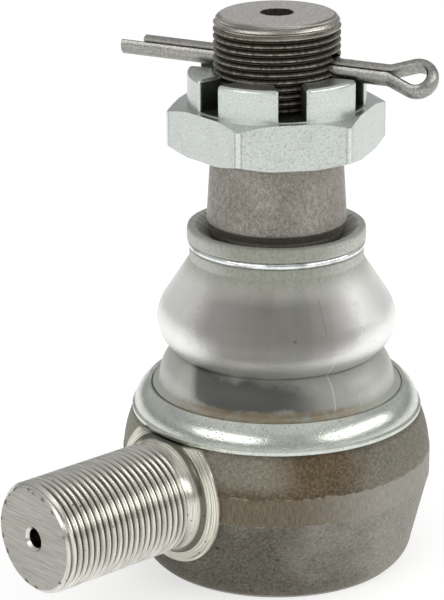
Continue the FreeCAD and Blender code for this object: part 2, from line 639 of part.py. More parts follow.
def hexagon_ring(body):
    """A sketch of the ring between the nut's hexagon and its round bar, one flat facing nut_turn."""
    sketch = body.newObject("Sketcher::SketchObject", "NutFlatsSketch")
    sketch.AttachmentSupport = (origin_plane(body, "XY_Plane"), [""])
    sketch.MapMode = "FlatFace"
    corner, outer = SIZES["nut_flats"] / math.sqrt(3), SIZES["nut_blank_radius"]
    first = SIZES["nut_turn"] + 30
    spots = [Vector(corner * math.cos(math.radians(first + 60 * k)),
                    corner * math.sin(math.radians(first + 60 * k)), 0) for k in range(6)]
    for k in range(6):
        sketch.addGeometry(Part.LineSegment(spots[k], spots[(k + 1) % 6]), False)
    for k in range(6):
        sketch.addConstraint(Sketcher.Constraint("Coincident", k, 2, (k + 1) % 6, 1))
    sketch.addGeometry(Part.Circle(Vector(0, 0, 0), Vector(0, 0, 1), outer), False)
    sketch.addConstraint(Sketcher.Constraint("Coincident", 6, 3, -1, 1))
    row = sketch.addConstraint(Sketcher.Constraint("Radius", 6, outer))
    sketch.setExpression(f"Constraints[{row}]", "Sizes.nut_blank_radius")
    inner = sketch.addGeometry(
        Part.Circle(Vector(0, 0, 0), Vector(0, 0, 1), corner), True)
    sketch.addConstraint(Sketcher.Constraint("Coincident", inner, 3, -1, 1))
    row = sketch.addConstraint(Sketcher.Constraint("Radius", inner, corner))
    sketch.setExpression(f"Constraints[{row}]", "Sizes.nut_flats / sqrt(3)")
    for k in range(6):
        sketch.addConstraint(Sketcher.Constraint("PointOnObject", k, 1, inner))
    for k in range(5):
        sketch.addConstraint(Sketcher.Constraint("Equal", k, k + 1))
    row = sketch.addConstraint(
        Sketcher.Constraint("Angle", 0, math.radians(first + 120)))
    sketch.setExpression(f"Constraints[{row}]", "Sizes.nut_turn * 1 deg + 150 deg")
    return sketch


def castle_edges(shape):
    """The outer upright edges of the castles and the edges round their tops, by name."""
    wall, top = SIZES["crown_radius"], SIZES["nut_bottom"] + SIZES["nut_height"]
    crown_foot = SIZES["nut_bottom"] + SIZES["slot_bottom"]
    names = []
    for i, edge in enumerate(shape.Edges, start=1):
        ends = [vertex.Point for vertex in edge.Vertexes]
        reach = [math.hypot(point.x, point.y) for point in ends]
        upper = all(point.z > crown_foot - 0.01 for point in ends)
        outer = max(reach) > wall - 0.01
        level = all(abs(point.z - crown_foot) < 0.01 for point in ends)
        if len(ends) == 2 and upper and outer and not level and max(p.z for p in ends) > top - 0.01:
            names.append(f"Edge{i}")
    return names


def cut_nut_thread(body):
    """Cuts the female thread, half a pitch out of step with the stud's grooves, with play."""
    before = body.Shape.Volume
    play, pitch = SIZES["nut_thread_play"], SIZES["thread_pitch"]
    crest = pitch / 2 - ROOT_HALF - SIZES["thread_depth"] * FLANK
    top = crest + play
    foot = top + (SIZES["nut_thread_radius"] - SIZES["nut_core_radius"] + 2 * play) * FLANK
    middle = SIZES["stud_relief_high"] - 2.5 * pitch
    sketch = sketch_outline(body, "NutThreadSketch", "XZ_Plane", [
        ("nut_core_radius - nut_thread_play", f"{middle - foot:.4f}"),
        ("nut_thread_radius + nut_thread_play", f"{middle - top:.4f}"),
        ("nut_thread_radius + nut_thread_play", f"{middle + top:.4f}"),
        ("nut_core_radius - nut_thread_play", f"{middle + foot:.4f}"),
    ])
    thread = body.newObject("PartDesign::SubtractiveHelix", "NutThread")
    thread.Profile = (sketch, [""])
    thread.ReferenceAxis = (sketch, ["V_Axis"])
    thread.Mode = "pitch-height-angle"
    thread.setExpression("Pitch", "Sizes.thread_pitch")
    thread.setExpression("Height", "Sizes.nut_height + 2 * Sizes.thread_pitch")
    must_cut(thread, before)


def cut_slots(body):
    """Cuts the crown's six slots, the first of them towards nut_turn."""
    before = body.Shape.Volume
    outline = sketch_outline(body, "NutSlotSketch", "XY_Plane", [
        ("0", "-slot_half"),
        ("nut_slot_reach", "-slot_half"),
        ("nut_slot_reach", "slot_half"),
        ("0", "slot_half"),
    ])
    outline.AttachmentOffset = Placement(
        Vector(0, 0, SIZES["nut_bottom"] + SIZES["slot_bottom"]),
        Rotation(Vector(0, 0, 1), SIZES["nut_turn"]))
    slot = body.newObject("PartDesign::Pocket", "NutSlot")
    slot.Profile = outline
    slot.Reversed = True
    slot.setExpression("Length", "Sizes.slot_cut_length")
    must_cut(slot, before)
    before = body.Shape.Volume
    slots = body.newObject("PartDesign::PolarPattern", "NutSlots")
    slots.Originals = [slot]
    slots.Axis = (outline, ["N_Axis"])
    slots.Angle = 360.0
    slots.Occurrences = 6
    body.Tip = slots
    must_cut(slots, before)
    return slots


def castle_nut():
    """Hexagon with chamfered corners, round crown with six slots, and an M27 thread."""
    body = new_body("CastleNut")
    revolve(body, "NutTurned", [
        ("nut_core_radius", "nut_bottom + nut_sink_depth"),
        ("nut_sink_radius", "nut_bottom"),
        ("nut_chamfer_radius", "nut_bottom"),
        ("nut_chamfer_radius + nut_chamfer_reach", "nut_bottom + nut_chamfer_drop"),
        ("nut_chamfer_radius + nut_chamfer_reach", "nut_bottom + nut_hex_height - nut_chamfer_drop"),
        ("nut_chamfer_radius", "nut_bottom + nut_hex_height"),
        ("crown_radius", "nut_bottom + nut_hex_height"),
        ("crown_radius", "nut_bottom + nut_height"),
        ("nut_core_radius + nut_mouth", "nut_bottom + nut_height"),
        ("nut_core_radius", "nut_bottom + nut_height - nut_mouth"),
    ])
    before = body.Shape.Volume
    flats = body.newObject("PartDesign::Pocket", "NutFlats")
    flats.Profile = hexagon_ring(body)
    flats.Reversed = True
    flats.setExpression("Length", "Sizes.nut_cut_length")
    must_cut(flats, before)
    slots = cut_slots(body)
    rounded = body.newObject("PartDesign::Fillet", "CrownRounding")
    rounded.Base = (slots, castle_edges(slots.Shape))
    rounded.setExpression("Radius", "Sizes.castle_round")
    doc.recompute()
    cut_nut_thread(body)
    return keep(body, "castle_nut")


def split_pin():
    """Half-round wire folded into two legs with an eye, pushed through the stud and rolled over."""
    body = new_body("SplitPin")
    bend, foot = math.radians(SIZES["pin_bend_angle"]), SIZES["pin_bend_start"]
    gap, eye, turn = SIZES["pin_half_gap"], SIZES["pin_eye_radius"], SIZES["pin_bend_radius"]
    parted = (foot + turn * math.sin(bend), gap + turn * (1 - math.cos(bend)))
    rise = (eye * math.cos(bend) - parted[1]) / math.tan(bend)
    meet = (parted[0] + rise, eye * math.cos(bend))
    tip = meet[0] + eye * math.sin(bend) + eye
    spine = sketch_outline(body, "PinSpine", "XZ_Plane", [
        ("-pin_long_leg", "-pin_half_gap"),
        ("pin_bend_start", "-pin_half_gap"),
        (f"{parted[0]:.5f}", f"-{parted[1]:.5f}"),
        (f"{meet[0]:.5f}", f"-{meet[1]:.5f}"),
        (f"{tip:.5f}", "0"),
        (f"{meet[0]:.5f}", f"{meet[1]:.5f}"),
        (f"{parted[0]:.5f}", f"{parted[1]:.5f}"),
        ("pin_bend_start", "pin_half_gap"),
        ("-pin_short_leg", "pin_half_gap"),
    ], {
        1: ("pin_bend_radius", -1),
        3: ("pin_eye_radius", 1),
        4: ("pin_eye_radius", 1),
        6: ("pin_bend_radius", -1),
    }, closed=False)
    deep = SIZES["pin_radius"] - gap - SIZES["pin_bevel"]
    back = (SIZES["pin_radius"] ** 2 + deep ** 2) / (2 * deep)
    section = sketch_outline(body, "PinSection", "YZ_Plane", [
        ("pin_bevel - pin_radius", "-pin_half_gap"),
        ("-pin_radius", "-pin_half_gap - pin_bevel"),
        ("pin_radius", "-pin_half_gap - pin_bevel"),
        ("pin_radius - pin_bevel", "-pin_half_gap"),
    ], {1: (f"{back:.4f}", 1)})
    section.setExpression("AttachmentOffset.Base.z", "-Sizes.pin_long_leg")
    wire = body.newObject("PartDesign::AdditivePipe", "PinWire")
    wire.Profile = section
    wire.Spine = spine
    wire.Mode = "Frenet"
    doc.recompute()
    along = Rotation(Vector(0, 0, 1), SIZES["pin_turn"])
    dip = Rotation(Vector(0, 1, 0), SIZES["pin_dip"])
    roll = Rotation(Vector(1, 0, 0), -SIZES["pin_roll"])
    body.Placement = Placement(Vector(0, 0, SIZES["pin_height"]), along * dip * roll)
    return keep(body, "split_pin")


def write_nodes():
    """Checks every object of the document, then writes one STEP file for each node."""
    doc.recompute()
    for item in doc.Objects:
        if {"Invalid", "Error"} & set(item.State):
            raise RuntimeError(f"{item.Name} failed: {item.State}")
    for node in nodes:
        shape = node.Shape
        if shape.isNull() or not shape.isValid() or not shape.Solids:
            raise RuntimeError(f"{node.Label} has no valid solid")
        print(f"{node.Label}: {len(shape.Solids)} solid, {shape.Volume:.0f} mm3")
    os.makedirs("parts", exist_ok=True)
    for node in nodes:
        path = f"parts/{node.Label}.step"
        node.Shape.exportStep(path)
        if not Part.read(path).isValid():
            raise RuntimeError(f"{path} does not read back as a valid solid")


housing()
ball_stud()
upper_shell()
lower_shell()
disc_spring()
end_cover()
ring("CoverSeal", "cover_sealing_ring", "seal_radius", "seal_wire", "seal_height")
boot_upper()
boot_lower()
ring("WireRing", "boot_wire_ring", "wire_ring_radius", "wire_ring_wire", "wire_ring_height")
clamp_ring()
castle_nut()
split_pin()
write_nodes()
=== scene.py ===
"""Looks of the tie rod end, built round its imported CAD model: boot, metals, floor, lights and camera."""

import math

import bpy
from mathutils import Matrix, Vector, noise


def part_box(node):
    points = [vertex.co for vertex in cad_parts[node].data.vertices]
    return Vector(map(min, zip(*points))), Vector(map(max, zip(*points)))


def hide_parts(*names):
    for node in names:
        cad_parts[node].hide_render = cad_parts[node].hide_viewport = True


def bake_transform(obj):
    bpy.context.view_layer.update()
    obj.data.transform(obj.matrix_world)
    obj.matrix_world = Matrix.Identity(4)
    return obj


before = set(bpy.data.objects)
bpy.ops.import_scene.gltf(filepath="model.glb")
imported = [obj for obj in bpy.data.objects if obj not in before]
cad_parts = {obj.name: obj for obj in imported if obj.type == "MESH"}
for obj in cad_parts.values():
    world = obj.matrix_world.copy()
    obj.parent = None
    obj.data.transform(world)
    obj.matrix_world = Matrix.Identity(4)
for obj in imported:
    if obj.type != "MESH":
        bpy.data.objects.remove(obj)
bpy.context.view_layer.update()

MM = 0.001


# ---------------------------------------------------------------------------------------------
# Node graphs
# ---------------------------------------------------------------------------------------------

def colour_ramp(tree, stops):
    """Ramp node from (position, colour) pairs."""
    node = tree.nodes.new("ShaderNodeValToRGB")
    elements = node.color_ramp.elements
    while len(elements) < len(stops):
        elements.new(0.5)
    for element, (position, colour) in zip(elements, stops):
        element.position = position
        element.color = (*colour, 1.0)
    return node


class Graph:
    """A material's node tree, with one short call for each kind of node used below."""

    def __init__(self, name, **shader_values):
        self.material = bpy.data.materials.new(name)
        self.material.use_nodes = True
        self.tree = self.material.node_tree
        self.shader = self.tree.nodes["Principled BSDF"]
        for socket, value in shader_values.items():
            self.shader.inputs[socket.replace("_", " ")].default_value = value
        self.place = self.math_vector("SCALE", self.new("ShaderNodeTexCoord").outputs["Object"], 1 / MM)
        axes = self.new("ShaderNodeSeparateXYZ")
        self.link(self.place, axes.inputs[0])
        self.x, self.y, self.z = axes.outputs

    def new(self, kind):
        return self.tree.nodes.new(kind)

    def link(self, source, socket):
        """Joins an output to a socket, or writes a plain value into it."""
        if isinstance(source, bpy.types.NodeSocket):
            self.tree.links.new(source, socket)
        else:
            socket.default_value = source

    def math(self, operation, first, second=0.0):
        node = self.new("ShaderNodeMath")
        node.operation = operation
        self.link(first, node.inputs[0])
        self.link(second, node.inputs[1])
        return node.outputs[0]

    def math_vector(self, operation, vector, value):
        node = self.new("ShaderNodeVectorMath")
        node.operation = operation
        self.link(vector, node.inputs[0])
        if operation == "SCALE":
            self.link(value, node.inputs["Scale"])
        else:
            self.link(value, node.inputs[1])
        return node.outputs[0]

    def both(self, first, *others):
        """Product of masks or numbers: as a mask, 1 where all of them are."""
        for other in others:
            first = self.math("MULTIPLY", first, other)
        return first

    def either(self, first, *others):
        """Largest of masks: 1 where any of them is."""
        for other in others:
            first = self.math("MAXIMUM", first, other)
        return first

    def inverse(self, mask):
        """1 where the mask is 0."""
        return self.math("SUBTRACT", 1.0, mask)

    def plus(self, first, second, share=1.0):
        """First, and a share of second."""
        return self.math("ADD", first, self.both(second, share))

    def average(self, first, share, second):
        """Weighted mean of two values; `share` is how much of the first goes into it."""
        return self.plus(self.both(first, share), second, 1.0 - share)

    def radius(self, first, second):
        """Distance from the axis that is square to both coordinates."""
        return self.math("SQRT", self.plus(self.both(first, first), self.both(second, second)))

    def across(self, bearing):
        """Millimetres towards a bearing, in degrees from +X towards +Y."""
        turn = math.radians(bearing)
        return self.plus(self.both(self.x, math.cos(turn)), self.y, math.sin(turn))

    def span(self, value, low, high):
        """0 below low, 1 above high, smooth between them."""
        node = self.new("ShaderNodeMapRange")
        node.interpolation_type = "SMOOTHSTEP"
        self.link(value, node.inputs["Value"])
        node.inputs["From Min"].default_value = low
        node.inputs["From Max"].default_value = high
        return node.outputs[0]

    def band(self, value, low, high, soft):
        """1 between low and high, 0 outside them."""
        rise = self.span(value, low - soft, low + soft)
        fall = self.span(value, high + soft, high - soft)
        return self.math("MULTIPLY", rise, fall)

    def noise(self, scale, detail=4.0, roughness=0.5, vector=None, stretch=None):
        """Noise with `scale` cells a millimetre, squeezed by `stretch` along x, y and z."""
        vector = self.place if vector is None else vector
        if stretch is not None:
            vector = self.math_vector("MULTIPLY", vector, stretch)
        node = self.new("ShaderNodeTexNoise")
        self.link(vector, node.inputs["Vector"])
        node.inputs["Scale"].default_value = scale
        node.inputs["Detail"].default_value = detail
        node.inputs["Roughness"].default_value = roughness
        return node.outputs["Fac"]

    def pits(self, scale, low, high):
        """1 in the middle of scattered small pits, 0 between them."""
        node = self.new("ShaderNodeTexVoronoi")
        self.link(self.place, node.inputs["Vector"])
        node.inputs["Scale"].default_value = scale
        return self.span(node.outputs["Distance"], high, low)

    def wrapped(self, radius, along, first, second):
        """Coordinates wrapped round an axis: arc length at a radius, and the place along it."""
        node = self.new("ShaderNodeCombineXYZ")
        self.link(self.both(self.math("ARCTAN2", first, second), radius), node.inputs["X"])
        self.link(along, node.inputs["Y"])
        return node.outputs[0]

    def round_stud(self, radius):
        """Coordinates wrapped round the stud's axis."""
        return self.wrapped(radius, self.z, self.y, self.x)

    def round_shank(self, radius):
        """Coordinates wrapped round the shank's axis."""
        return self.wrapped(radius, self.x, self.y, self.z)

    def ramp(self, value, stops):
        """Colour for a value, from (position, colour) pairs."""
        node = colour_ramp(self.tree, stops)
        self.link(value, node.inputs[0])
        return node.outputs[0]

    def mix(self, factor, first, second):
        """Colour that goes from first to second with the factor."""
        node = self.new("ShaderNodeMix")
        node.data_type = "RGBA"
        self.link(factor, node.inputs["Factor"])
        sockets = [s for s in node.inputs if s.type == "RGBA"]
        for socket, colour in zip(sockets, (first, second)):
            if isinstance(colour, tuple):
                colour = (*colour, 1.0)
            self.link(colour, socket)
        return [s for s in node.outputs if s.type == "RGBA"][0]

    def fade(self, factor, first, second):
        """Number that goes from first to second with the factor."""
        node = self.new("ShaderNodeMapRange")
        self.link(factor, node.inputs["Value"])
        self.link(first, node.inputs["To Min"])
        self.link(second, node.inputs["To Max"])
        return node.outputs[0]

    def bump(self, height, depth, normal=None):
        """Relief of `depth` millimetres for a height from 0 to 1."""
        node = self.new("ShaderNodeBump")
        node.inputs["Distance"].default_value = depth * MM
        self.link(height, node.inputs["Height"])
        if normal is not None:
            self.link(normal, node.inputs["Normal"])
        return node.outputs[0]

    def set(self, **sockets):
        """Joins outputs to the shader's sockets."""
        for socket, source in sockets.items():
            self.link(source, self.shader.inputs[socket.replace("_", " ")])
        return self.material


# ---------------------------------------------------------------------------------------------
# Places on the part, in mm from the ball's centre; bearings in degrees from +X towards +Y
# ---------------------------------------------------------------------------------------------

X, Y, Z = range(3)
LOW, HIGH = range(2)


def limit(node, corner, axis):
    """Lowest or highest place of a CAD node along an axis."""
    return round(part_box(node)[corner][axis] / MM, 2)


HOUSING_RADIUS = limit("housing", HIGH, Y)
HOUSING_RIM = -21.0          # machined rim round the end cover, below this
FLASH_LOW, FLASH_HIGH = -2.9, 3.2
SEAT_HEIGHT = 12.1           # machined seat of the clamp ring, above this

SHANK_RADIUS = 12.0
SHANK_FACE = 31.3            # forging ends here along the shank
SHANK_COLLAR = 33.4          # groove behind that face, painted dark as a reflection, ends here
SHANK_THREAD = 36.2
SHANK_END = limit("housing", HIGH, X)

CONE_FOOT = 54.8
CONE_RADIUS = 14.5
STUD_THREAD = 13.5           # radius of its crests
STUD_THREAD_FOOT = 72.0
CENTRE_HOLE = 4.5            # radius of the painted shade in and round the top's centre hole
STUD_TOP = limit("ball_stud", HIGH, Z)
STUD_HIDDEN = 44.0           # the boot's collar hides the stud below this, and painted shade darkens it there

NUT_TOP = limit("castle_nut", HIGH, Z)
NUT_HEX_TOP = 80.75
NUT_CROWN = 19.0             # radius of the slotted crown
NUT_CORNER = 23.44           # radius where the painted highlight on the corners starts

COLLAR_TOP = limit("boot_upper_fold", HIGH, Z)
COLLAR_FOOT = 44.0           # the collar's thicker wall starts here
BOWL = 17.6                  # radius of the shallow bowl in the collar's top
WAIST = limit("boot_upper_fold", LOW, Z)
FOOT_HEIGHT = 18.6           # the lower fold enters the clamp ring here

VIEW_FRONT = 47.0            # towards the camera
VIEW_RIGHT = 137.0           # across its view, to the right
NUT_FRONT = 57.0             # the nut's roughest flats face this way
FOOT_RUST = 43.0             # middle of the rusty grease at the boot's foot


# ---------------------------------------------------------------------------------------------
# Metals
# ---------------------------------------------------------------------------------------------

def shade(colour, factor):
    """The colour made darker or lighter, up to white."""
    return tuple(min(1.0, channel * factor) for channel in colour)


def tones(g, value, colour, contrast, spread=0.20):
    """Colour that runs from dark to light about `colour` as a noise value passes 0.5, spread either side."""
    return g.ramp(value, [(0.5 - spread, shade(colour, 1 / contrast ** 1.4)), (0.50, colour),
                          (0.5 + spread, shade(colour, contrast))])


def upper_skin(g, grain):
    """Heat-tinted skin above the flash: brown in front, olive on the left, grey on the right."""
    side = g.across(VIEW_RIGHT)
    rust = g.noise(0.12, 4.0, 0.6, vector=g.math_vector("ADD", g.place, (31.0, 7.0, 0.0)))
    front = g.both(g.span(g.math("ABSOLUTE", g.plus(side, 3.0)), 30.0, 12.0), 0.26)
    umber = tones(g, grain, (0.100, 0.086, 0.060), 2.2, 0.12)
    brown = tones(g, grain, (0.122, 0.090, 0.050), 2.1, 0.12)
    olive = tones(g, grain, (0.160, 0.152, 0.108), 1.9, 0.12)
    grey = tones(g, grain, (0.210, 0.196, 0.155), 1.6, 0.13)
    colour = g.mix(g.span(g.plus(rust, front), 0.56, 0.72), umber, brown)
    colour = g.mix(g.span(side, -20.0, -27.0), colour, olive)
    return g.mix(g.span(g.plus(side, rust, 12.0), 18.0, 30.0), colour, grey)


def lower_skin(g, grain):
    """Mottled skin below the flash, paler in patches and towards the right."""
    patches = g.noise(0.075, 3.0, 0.5)
    right = g.both(g.span(g.across(VIEW_RIGHT), -10.0, 30.0), 0.34)
    dark = tones(g, grain, (0.122, 0.112, 0.086), 1.9, 0.12)
    pale = tones(g, grain, (0.300, 0.288, 0.250), 1.4, 0.13)
    return g.mix(g.span(g.plus(g.both(patches, 0.6), right), 0.28, 0.66), dark, pale)


def flash_band(g, grain, streak):
    """Trimmed flash with upright streaks, brown on the left and pale on the right."""
    brown = tones(g, g.average(streak, 0.65, grain), (0.150, 0.126, 0.086), 1.8)
    pale = tones(g, streak, (0.315, 0.300, 0.262), 1.25)
    return g.mix(g.span(g.across(VIEW_RIGHT), 2.0, 26.0), brown, pale)


def turned_shank(g, fine, turning, sawn, end):
    """Bright shank: darker thread grooves, painted dark reflection in the groove at its foot, sawn end and
    nicked crests.
    """
    from_axis = g.radius(g.y, g.z)
    colour = tones(g, turning, (0.64, 0.63, 0.58), 1.35)
    thread = g.band(g.x, SHANK_THREAD, SHANK_END - 1.0, 0.4)
    # Darker in the thread grooves.
    groove = g.both(thread, g.span(from_axis, SHANK_RADIUS - 0.35, SHANK_RADIUS - 0.8))
    colour = g.mix(groove, colour, (0.20, 0.19, 0.155))
    flare = g.span(g.x, SHANK_THREAD - 0.3, SHANK_THREAD - 1.0)
    colour = g.mix(flare, colour, tones(g, turning, (0.58, 0.57, 0.49), 1.6))
    # Painted reflection: the groove behind the forged face is coloured dark olive.
    collar = g.both(g.span(from_axis, SHANK_RADIUS + 1.5, SHANK_RADIUS + 1.1),
                    g.band(g.x, SHANK_FACE, SHANK_COLLAR, 0.25))
    colour = g.mix(g.both(collar, 0.85), colour, tones(g, fine, (0.065, 0.065, 0.040), 1.7))
    colour = g.mix(end, colour, tones(g, sawn, (0.37, 0.36, 0.325), 1.25))
    nicks = g.both(g.pits(0.45, 0.05, 0.17), g.span(g.noise(0.2, 2.0), 0.50, 0.58))
    rim_nicks = g.both(g.pits(0.42, 0.16, 0.34), g.span(g.x, SHANK_END - 2.2, SHANK_END - 1.2),
                       g.span(from_axis, SHANK_RADIUS - 2.2, SHANK_RADIUS - 1.4))
    return g.mix(g.both(g.either(nicks, rim_nicks), 0.85), colour, (0.06, 0.055, 0.045))


def forged_housing():
    """Forging with a flash band, machined faces and a bright turned shank."""
    g = Graph("forged_housing")
    skin = g.noise(1.5, 8.0, 0.75)
    fine = g.noise(5.0, 4.0, 0.7)
    grain = g.average(skin, 0.60, fine)
    streak = g.noise(1.0, 5.0, 0.7, g.round_stud(HOUSING_RADIUS), (3.0, 0.45, 1.0))
    ragged = g.both(g.plus(g.noise(0.45, 5.0, 0.6), -0.5), 1.1)
    height = g.plus(g.z, ragged)

    above = g.span(height, FLASH_HIGH - 0.20, FLASH_HIGH + 0.20)
    below = g.span(height, FLASH_LOW + 0.30, FLASH_LOW - 0.30)
    colour = g.mix(above, flash_band(g, grain, streak), upper_skin(g, grain))
    colour = g.mix(below, colour, lower_skin(g, grain))
    lit_edges = g.either(g.band(height, FLASH_HIGH - 0.10, FLASH_HIGH + 0.25, 0.12),
                         g.band(height, FLASH_LOW - 0.20, FLASH_LOW + 0.05, 0.12))
    broken = g.span(g.noise(0.5, 4.0, 0.6), 0.46, 0.60)
    colour = g.mix(g.both(lit_edges, broken, 0.6), colour, (0.42, 0.39, 0.33))
    spots = g.both(g.pits(0.22, 0.05, 0.16), g.span(g.noise(0.13, 2.0), 0.5, 0.6))
    colour = g.mix(g.both(spots, 0.8), colour, (0.035, 0.03, 0.025))
    worn = g.both(g.span(g.x, 17.0, 25.0), g.span(g.z, 3.0, 7.0), 0.55)
    colour = g.mix(worn, colour, tones(g, grain, (0.36, 0.35, 0.29), 1.6))
    seat = g.span(g.z, SEAT_HEIGHT - 0.05, SEAT_HEIGHT + 0.05)
    colour = g.mix(seat, colour, tones(g, fine, (0.42, 0.41, 0.37), 1.3))
    rim = g.span(g.z, HOUSING_RIM, HOUSING_RIM - 0.6)
    colour = g.mix(rim, colour, tones(g, fine, (0.34, 0.335, 0.30), 1.3))

    machined = g.span(g.plus(g.x, ragged, 0.8), SHANK_FACE - 0.5, SHANK_FACE - 0.1)
    turning = g.noise(1.0, 3.0, 0.6, g.round_shank(SHANK_RADIUS), (0.12, 7.0, 1.0))
    sawn = g.noise(1.0, 4.0, 0.6, stretch=(1.0, 0.16, 5.0))
    end = g.span(g.x, SHANK_END - 0.12, SHANK_END - 0.03)
    colour = g.mix(machined, colour, turned_shank(g, fine, turning, sawn, end))

    roughness = g.fade(machined, g.fade(grain, 0.68, 0.48), g.fade(turning, 0.30, 0.18))
    relief = g.plus(g.plus(g.both(skin, 0.8), fine, 0.4), spots, -0.8)
    forged = g.inverse(machined)
    off_band = g.either(above, below)
    normal = g.bump(g.both(forged, off_band, relief), 0.38)
    normal = g.bump(g.both(forged, g.inverse(off_band), streak), 0.07, normal)
    normal = g.bump(g.both(turning, machined), 0.02, normal)
    normal = g.bump(g.both(sawn, end), 0.03, normal)
    return g.set(Base_Color=colour, Roughness=roughness, Normal=normal, Metallic=g.fade(machined, 0.6, 1.0))


def ground_stud():
    """Oiled stud: dark brown thread with bright crests, speckled cone with a painted highlight at its foot,
    turned top with painted shade in its centre hole, painted shade below the boot's collar.
    """
    g = Graph("ground_stud", Metallic=1.0)
    radius = g.radius(g.x, g.y)
    streak = g.noise(1.0, 5.0, 0.6, g.round_stud(CONE_RADIUS), (1.2, 0.7, 1.0))
    speck = g.noise(2.2, 6.0, 0.78)
    patches = g.noise(0.16, 3.0, 0.5)
    grain = g.average(streak, 0.35, speck)

    dull = tones(g, grain, (0.235, 0.220, 0.192), 1.9)
    clear = tones(g, grain, (0.285, 0.268, 0.238), 1.8)
    colour = g.mix(g.span(patches, 0.30, 0.70), dull, clear)
    # Painted highlight: a lighter band round the rounded foot of the cone.
    foot = g.band(g.z, CONE_FOOT - 1.7, CONE_FOOT - 0.15, 0.12)
    colour = g.mix(g.both(foot, 0.5), colour, (0.46, 0.44, 0.40))
    edge = g.band(g.z, CONE_FOOT - 0.15, CONE_FOOT + 0.35, 0.12)
    colour = g.mix(g.both(edge, 0.75), colour, (0.06, 0.052, 0.045))

    thread = g.span(g.z, STUD_THREAD_FOOT - 0.3, STUD_THREAD_FOOT + 0.1)
    oiled = tones(g, speck, (0.060, 0.053, 0.041), 1.9)
    shine = tones(g, streak, (0.215, 0.200, 0.168), 2.0)
    crest = g.span(radius, STUD_THREAD - 0.75, STUD_THREAD - 0.20)
    colour = g.mix(thread, colour, g.mix(crest, oiled, shine))

    rim = g.span(g.z, STUD_TOP - 3.2, STUD_TOP - 2.8)
    turning = g.noise(1.0, 3.0, 0.6, g.round_stud(12.5), (0.10, 3.5, 1.0))
    colour = g.mix(rim, colour, tones(g, turning, (0.40, 0.38, 0.345), 1.6, 0.15))
    face = g.span(g.z, STUD_TOP - 0.25, STUD_TOP - 0.08)
    colour = g.mix(face, colour, tones(g, speck, (0.60, 0.59, 0.56), 1.4, 0.15))
    # Painted shade: dark inside the centre hole and over its ragged rim.
    ragged = g.plus(radius, g.noise(1.2, 4.0, 0.7), 1.4)
    hole = g.both(g.span(ragged, CENTRE_HOLE, CENTRE_HOLE - 0.4),
                  g.span(g.z, STUD_TOP - 8.0, STUD_TOP - 7.5))
    colour = g.mix(hole, colour, tones(g, speck, (0.040, 0.036, 0.030), 2.2))

    # Painted shade: the stud is made darker where the boot's collar hides it.
    painted_shade_in_boot = g.span(g.z, STUD_HIDDEN + 0.5, STUD_HIDDEN - 0.5)
    colour = g.mix(painted_shade_in_boot, colour, (0.16, 0.16, 0.155))
    roughness = g.fade(rim, g.fade(grain, 0.50, 0.30), 0.26)
    roughness = g.fade(g.either(g.both(face, 0.45), hole), roughness, 0.75)
    return g.set(Base_Color=colour, Roughness=roughness, Normal=g.bump(streak, 0.05, g.bump(speck, 0.06)))


def plated(g, tint, pit_share):
    """Colour, grain and relief of zinc plate with small pits."""
    bloom = g.noise(0.25, 5.0, 0.55)
    fine = g.noise(2.8, 6.0, 0.7)
    pits = g.pits(0.9, 0.04, 0.28)
    grain = g.average(bloom, 0.35, fine)
    colour = g.mix(g.both(pits, pit_share), tones(g, grain, tint, 1.25), shade(tint, 0.55))
    return colour, grain, g.plus(fine, pits, -0.9)


def zinc(name, tint, pit_share, smooth):
    """Bluish-white zinc plate with small pits and a faint bloom; `smooth` is its roughness."""
    g = Graph(name, Metallic=1.0)
    colour, grain, relief = plated(g, tint, pit_share)
    return g.set(Base_Color=colour, Roughness=g.fade(grain, smooth + 0.08, smooth - 0.05),
                 Normal=g.bump(relief, 0.035))


def plated_nut():
    """Zinc-plated nut: painted highlight and a painted dark line at the corners, rough flats, slots and
    thread painted green-black as shade.
    """
    g = Graph("nut_zinc", Metallic=1.0)
    tint = (0.60, 0.635, 0.61)
    colour, grain, relief = plated(g, tint, 0.5)
    colour = g.mix(0.7, colour, tones(g, g.noise(2.8, 6.0, 0.7), tint, 1.2))

    radius = g.radius(g.x, g.y)
    ragged = g.plus(radius, g.noise(1.6, 4.0, 0.6), 0.12)
    # Painted highlight on each corner, with a painted dark line just inside it.
    line = g.band(ragged, NUT_CORNER - 0.16, NUT_CORNER - 0.06, 0.04)
    colour = g.mix(g.both(line, 0.55), colour, (0.22, 0.24, 0.22))
    corners = g.span(ragged, NUT_CORNER, NUT_CORNER + 0.10)
    colour = g.mix(g.both(corners, 0.6), colour, (0.85, 0.88, 0.86))
    # Painted shade: the slots and the thread inside the crown are coloured green-black.
    slots = g.both(g.span(radius, NUT_CROWN - 0.25, NUT_CROWN - 0.6),
                   g.span(g.z, NUT_TOP - 0.3, NUT_TOP - 0.7))
    colour = g.mix(g.both(slots, 0.95), colour, tones(g, grain, (0.042, 0.047, 0.037), 2.0, 0.12))

    hexagon = g.span(g.z, NUT_HEX_TOP + 0.1, NUT_HEX_TOP - 0.1)
    rough_flats = g.both(hexagon, g.either(g.span(g.across(NUT_FRONT), 17.0, 19.5), 0.35))
    etched = g.noise(1.7, 4.0, 0.65)
    colour = g.mix(g.both(g.span(etched, 0.53, 0.62), rough_flats, 0.38), colour, (0.28, 0.31, 0.29))
    brushed = g.noise(1.0, 3.0, 0.6, g.round_stud(NUT_CROWN), (0.12, 5.0, 1.0))
    normal = g.bump(g.both(etched, rough_flats), 0.16, g.bump(relief, 0.035))
    normal = g.bump(g.both(brushed, g.inverse(hexagon)), 0.03, normal)
    return g.set(Base_Color=colour, Roughness=g.fade(slots, g.fade(grain, 0.38, 0.26), 0.6), Normal=normal)


